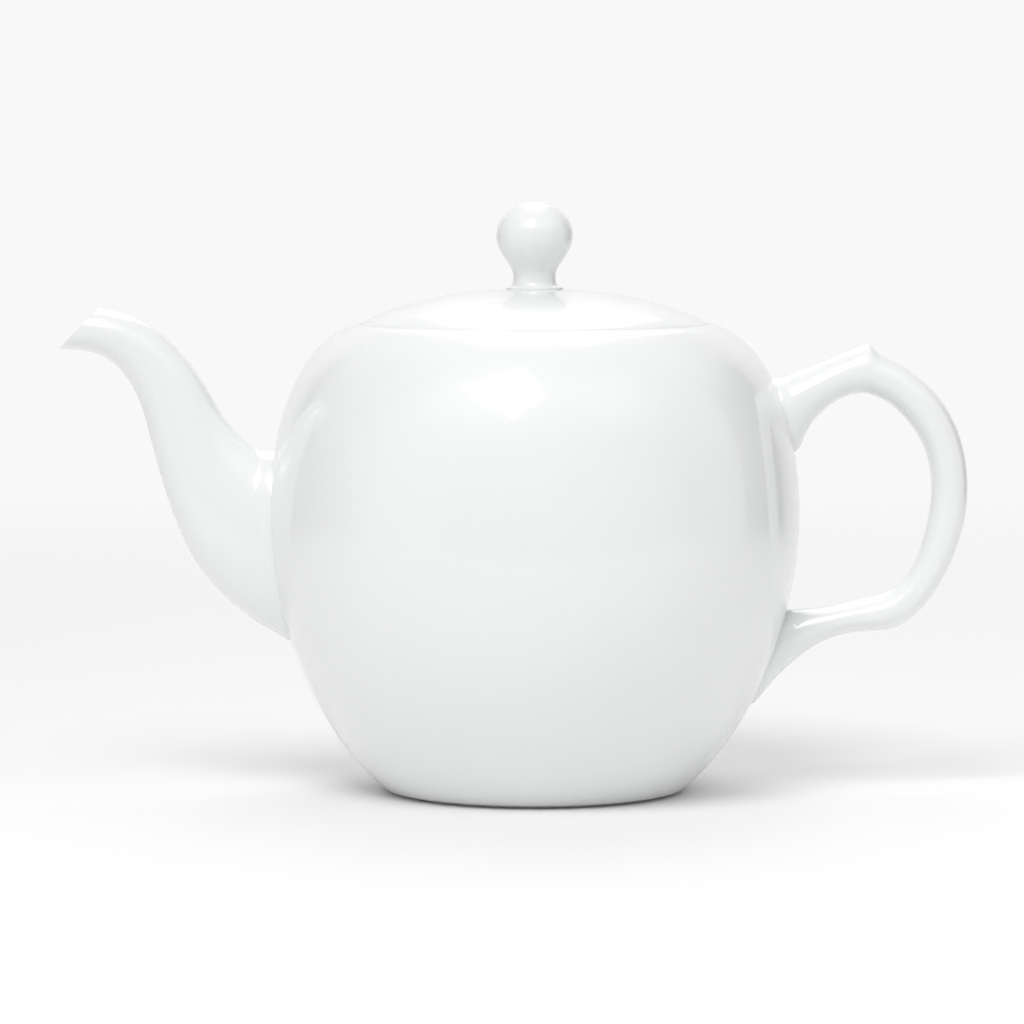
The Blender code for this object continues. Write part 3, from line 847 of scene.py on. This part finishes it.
round_corners(lid, LID_BEVEL, angle=25)
report(lid, "lid")

# %% [markdown]
# ### The ring that holds the lid in place
#
# Under the lid a ring hangs into the throat of the pot, so that the lid can't slide off when the
# pot tips. Its lower edge is rounded, because it is what the fingers meet when the lid is put
# down.

# %% Turn the locating ring
RING_INNER_RADIUS = 0.0386
RING_BEVEL = 0.0001
# The ring runs up through the joint's gap to the lid. Its lower edge turns in from this height,
# along handles that end this far from the ring's lowest line and from its sides.
RING_TURN_HEIGHT = 0.0018
RING_PULL_DOWN = 0.0007
RING_PULL_IN = 0.0006

ring_low_z = ring_low[2]
ring_top_z = ring_high[2] + JOINT_GAP
ring_wall_middle = (ring_radius + RING_INNER_RADIUS) / 2
lid_ring = turn_on_wheel(draw_template("lid_ring_glazed", [
    corner(ring_radius, ring_top_z),
    knot(None, ring_radius, ring_low_z + RING_TURN_HEIGHT,
         (ring_radius, ring_low_z + RING_PULL_DOWN)),
    knot((ring_radius - RING_PULL_IN, ring_low_z), ring_wall_middle, ring_low_z,
         (RING_INNER_RADIUS + RING_PULL_IN, ring_low_z)),
    knot((RING_INNER_RADIUS, ring_low_z + RING_PULL_DOWN), RING_INNER_RADIUS,
         ring_low_z + RING_TURN_HEIGHT, None),
    corner(RING_INNER_RADIUS, ring_top_z),
], closed=True, span_points=10))
round_corners(lid_ring, RING_BEVEL, segments=1)
report(lid_ring, "lid_ring")

# %% [markdown]
# ### The knob
#
# The knob is turned solid, a ball on a waisted neck, and stuck to the dome with slip. The neck
# spreads a little where it meets the lid. Its template starts just inside the dome, so that the
# two glazed surfaces meet in a clean line.

# %% Turn the knob
KNOB_NECK_RADIUS = 0.0057
KNOB_NECK_Z = 0.1384
KNOB_WIDEST_Z = 0.1491
KNOB_FOOT_RADIUS = 0.0077
# The knob's base lies this far inside the dome, and its edge this far below the node's own.
KNOB_SINK = 0.0006
KNOB_EDGE_DROP = 0.0001
# How far the curve's handles reach: in and up from the foot's edge, below and above the neck,
# below and above the widest place, and out from the top.
FOOT_PULL_IN = 0.0020
FOOT_PULL_UP = 0.0002
NECK_PULL_DOWN = 0.0018
NECK_PULL_UP = 0.0026
BALL_PULL_DOWN = 0.0050
BALL_PULL_UP = 0.0046
TOP_PULL = 0.0056

knob_foot_z = knob_low[2]
knob = turn_on_wheel(draw_template("lid_knob_glazed", [
    corner(0.0, knob_foot_z - KNOB_SINK),
    corner(KNOB_FOOT_RADIUS, knob_foot_z - KNOB_SINK),
    knot(None, KNOB_FOOT_RADIUS, knob_foot_z - KNOB_EDGE_DROP,
         (KNOB_FOOT_RADIUS - FOOT_PULL_IN, knob_foot_z + FOOT_PULL_UP)),
    knot((KNOB_NECK_RADIUS, KNOB_NECK_Z - NECK_PULL_DOWN), KNOB_NECK_RADIUS, KNOB_NECK_Z,
         (KNOB_NECK_RADIUS, KNOB_NECK_Z + NECK_PULL_UP)),
    knot((knob_radius, KNOB_WIDEST_Z - BALL_PULL_DOWN), knob_radius, KNOB_WIDEST_Z,
         (knob_radius, KNOB_WIDEST_Z + BALL_PULL_UP)),
    knot((TOP_PULL, knob_high[2]), 0.0, knob_high[2], None),
], span_points=20), steps=SMALL_WHEEL_STEPS)
shade_smooth(knob)
report(knob, "lid_knob")

# %% [markdown]
# ## Finish and assembly
#
# Each piece gets its finish and is attached to the body of the frame that it moves with, and the
# node that it stands for is hidden. The lid, its ring and its knob lift together; all the rest is
# the pot.

# %% Glaze the pieces and ride them on the frame
ASSEMBLY = [
    (belly, "pot", "belly", porcelain, "porcelain_glaze"),
    (foot, "pot", "foot_ring", biscuit, "biscuit_foot"),
    (spout, "pot", "spout", porcelain, "porcelain_glaze"),
    (strainer, "pot", "spout_strainer", porcelain, "porcelain_glaze"),
    (handle, "pot", "handle", porcelain, "porcelain_glaze"),
    (lid, "lid", "lid", porcelain, "porcelain_glaze"),
    (lid_ring, "lid", "lid_ring", porcelain, "porcelain_glaze"),
    (knob, "lid", "lid_knob", porcelain, "porcelain_glaze"),
]
for piece, body, node, finish, slot in ASSEMBLY:
    piece.data.materials.clear()
    piece.data.materials.append(finish)
    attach(piece, body)
    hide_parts(node)
    print(piece.name, "rides on", body, "and stands for", node)

# %% [markdown]
# ## The studio
#
# White on white is the hardest thing to light: the pot has to part from its background by soft
# greys and by reflections alone. The floor is a sheet of pale paper on a table. It fades into the
# same white as the air behind it, so that no horizon shows, and it ends a little in front of the
# pot, where its edge shows as a curve in the glaze. Beyond that edge is the dim room behind the
# camera. The camera itself is shown the sheet running on, so that no edge crosses the picture
# from any side.

# %% Paper floor
# PAPER_FRONT is the sheet's front edge. The fade starts and ends at these distances.
PAPER_RADIUS = 3.2
PAPER_FRONT = -0.37
FADE_START = 0.35
FADE_END = 1.1
bpy.ops.object.select_all(action='DESELECT')
bpy.ops.mesh.primitive_circle_add(
    vertices=96, radius=PAPER_RADIUS, fill_type='TRIFAN', location=(0, 0, 0))
floor = bpy.context.object
floor.name = "paper_floor"
paper, tree, shader = new_material("matt_white_paper")
place = add_node(tree, 'ShaderNodeTexCoord').outputs["Object"]
distance = add_node(tree, 'ShaderNodeVectorMath', {0: place}, operation='LENGTH')
fade = add_node(tree, 'ShaderNodeMapRange', {
    "Value": distance.outputs["Value"], "From Min": FADE_START, "From Max": FADE_END},
    interpolation_type='SMOOTHSTEP')
depth = add_node(tree, 'ShaderNodeSeparateXYZ', {0: place}).outputs["Y"]
ahead = add_node(tree, 'ShaderNodeMath', {0: depth, 1: PAPER_FRONT}, operation='LESS_THAN')
seen = add_node(tree, 'ShaderNodeLightPath').outputs["Is Camera Ray"]
past_edge = add_node(tree, 'ShaderNodeMath', {
    0: ahead.outputs["Value"], 1: seen}, operation='SUBTRACT')
gone = add_node(tree, 'ShaderNodeMath', {
    0: past_edge.outputs["Value"], 1: fade.outputs["Result"]}, operation='MAXIMUM')
air = add_node(tree, 'ShaderNodeBsdfTransparent')
melt = add_node(tree, 'ShaderNodeMixShader', {
    0: gone.outputs["Value"], 1: shader.outputs[0], 2: air.outputs[0]})
tree.links.new(melt.outputs[0], tree.nodes["Material Output"].inputs["Surface"])
shader.inputs["Base Color"].default_value = linear("#F4F4F4")
shader.inputs["Roughness"].default_value = 0.9
shader.inputs["Specular IOR Level"].default_value = 0.1
floor.data.materials.append(paper)

# %% [markdown]
# ### Softboxes
#
# Two area lights shape the pot. A softbox high in front, on the left and tilted, shows as the
# bright kite on the belly, and a panel over the back draws the white band on the shoulder. Each
# is set by the brightness of its face, and its power follows from its size, so that it can be
# made larger without changing how its reflection looks.

# %% Softboxes
def softbox(name, place, facing, width, height, radiance, roll=0.0):
    """An area light of an even brightness, at a place and facing a direction."""
    bpy.ops.object.select_all(action='DESELECT')
    bpy.ops.object.light_add(type='AREA', location=place)
    lamp = bpy.context.object
    lamp.name = name
    lamp.rotation_mode = 'QUATERNION'
    lamp.rotation_quaternion = (Vector(facing).to_track_quat('-Z', 'Y')
                                @ Quaternion((0, 0, 1), radians(roll)))
    lamp.data.shape = 'RECTANGLE'
    lamp.data.size = width
    lamp.data.size_y = height
    lamp.data.energy = radiance * width * height * pi
    lamp.visible_camera = False


softbox("front_softbox", place=(-0.20, -1.05, 1.31), facing=(0.65, 0.0, -0.76),
        width=1.08, height=0.63, radiance=6.5, roll=18)
softbox("overhead_panel", place=(0.02, 0.74, 1.09), facing=(-0.012, -0.593, -0.805),
        width=0.58, height=1.10, radiance=1.6)

# %% [markdown]
# ### The studio around
#
# The studio is three rings of brightness. WALLS stand at the horizon: white behind the pot, dim
# on the camera's side, with a black flag on the right and a grey one on the left that draw the
# pot's dark edges. LAMPS hang halfway up, brightest in front. CEILING is even. Each ring's list
# holds a bearing, from straight behind past the left, the camera and the right and back to
# behind, and how bright the studio is there. The camera sees none of this: behind the pot it is
# shown even, pale air.

# %% The studio around
WALLS = [
    (-180, 0.88), (-152, 0.88), (-142, 0.70), (-136, 0.30), (-130, 0.40), (-122, 0.50),
    (-121, 0.33), (-95, 0.36), (-70, 0.80), (-45, 0.75), (-30, 0.56), (30, 0.56), (77, 0.45),
    (78, 0.76), (101, 0.76), (104, 0.08), (134, 0.08), (140, 0.70), (152, 0.88), (180, 0.88),
]
LAMPS = [
    (-180, 0.68), (-125, 0.62), (-110, 0.42), (-70, 0.45), (-55, 1.15), (-28, 1.15),
    (-15, 0.82), (15, 0.82), (28, 1.25), (60, 1.20), (70, 0.75), (115, 0.75), (125, 0.62),
    (180, 0.68),
]
CEILING = 0.58
AIR = 0.939
# Heights, as the sine of the angle above the floor, between which each ring gives way to the
# next one up.
WALLS_END, LAMPS_START = 0.38, 0.62
LAMPS_END, CEILING_START = 0.80, 0.90

world = bpy.data.worlds.new("white_studio")
bpy.context.scene.world = world
world.use_nodes = True
tree = world.node_tree
background = tree.nodes["Background"]
direction = add_node(tree, 'ShaderNodeTexCoord').outputs["Generated"]
axes = add_node(tree, 'ShaderNodeSeparateXYZ', {0: direction})
towards_camera = add_node(tree, 'ShaderNodeMath', {0: axes.outputs["Y"], 1: -1.0},
                          operation='MULTIPLY')
bearing = add_node(tree, 'ShaderNodeMath', {
    0: axes.outputs["X"], 1: towards_camera.outputs["Value"]}, operation='ARCTAN2')
turn = add_node(tree, 'ShaderNodeMapRange', {
    "Value": bearing.outputs["Value"], "From Min": -pi, "From Max": pi})


def ring(stops):
    """A ring of brightness round the pot, as a colour ramp over the bearings."""
    ramp = add_node(tree, 'ShaderNodeValToRGB', {"Fac": turn.outputs["Result"]})
    elements = ramp.color_ramp.elements
    while len(elements) < len(stops):
        elements.new(0.5)
    for element, (degrees, radiance) in zip(elements, stops):
        element.position = (degrees + 180) / 360
        element.color = (radiance, radiance, radiance, 1)
    return ramp.outputs["Color"]


def between(low, high, below, above):
    """Below this height one brightness, above it another, with a soft change between."""
    height = add_node(tree, 'ShaderNodeMapRange', {
        "Value": axes.outputs["Z"], "From Min": low, "From Max": high},
        interpolation_type='SMOOTHSTEP')
    return add_node(tree, 'ShaderNodeMix', {
        0: height.outputs["Result"], 2: below, 3: above}).outputs[0]


around = between(WALLS_END, LAMPS_START, ring(WALLS), ring(LAMPS))
dome = between(LAMPS_END, CEILING_START, around, CEILING)
seen = add_node(tree, 'ShaderNodeLightPath').outputs["Is Camera Ray"]
studio = add_node(tree, 'ShaderNodeMix', {0: seen, 2: dome, 3: AIR})
tree.links.new(studio.outputs[0], background.inputs["Strength"])
background.inputs["Color"].default_value = (1, 1, 1, 1)
bpy.context.scene.view_settings.view_transform = 'Standard'

# %% [markdown]
# ## The camera
#
# The camera stands a little above the lid and looks down by four and a half degrees, far enough
# away for a long lens, so that the pot shows almost from the side with just a sliver of its lid.

# %% Camera
CAMERA_DISTANCE = 1.36
CAMERA_HEIGHT = 0.1826
CAMERA_PITCH = 4.53
CAMERA_SHIFT_LEFT = 0.0060
bpy.ops.object.camera_add(
    location=(axis_x - CAMERA_SHIFT_LEFT, -CAMERA_DISTANCE, CAMERA_HEIGHT),
    rotation=(radians(90 - CAMERA_PITCH), 0, 0))
camera = bpy.context.object
camera.name = "camera"
camera.data.sensor_width = 36
camera.data.lens = 179
camera.data.clip_end = 50
bpy.context.scene.camera = camera
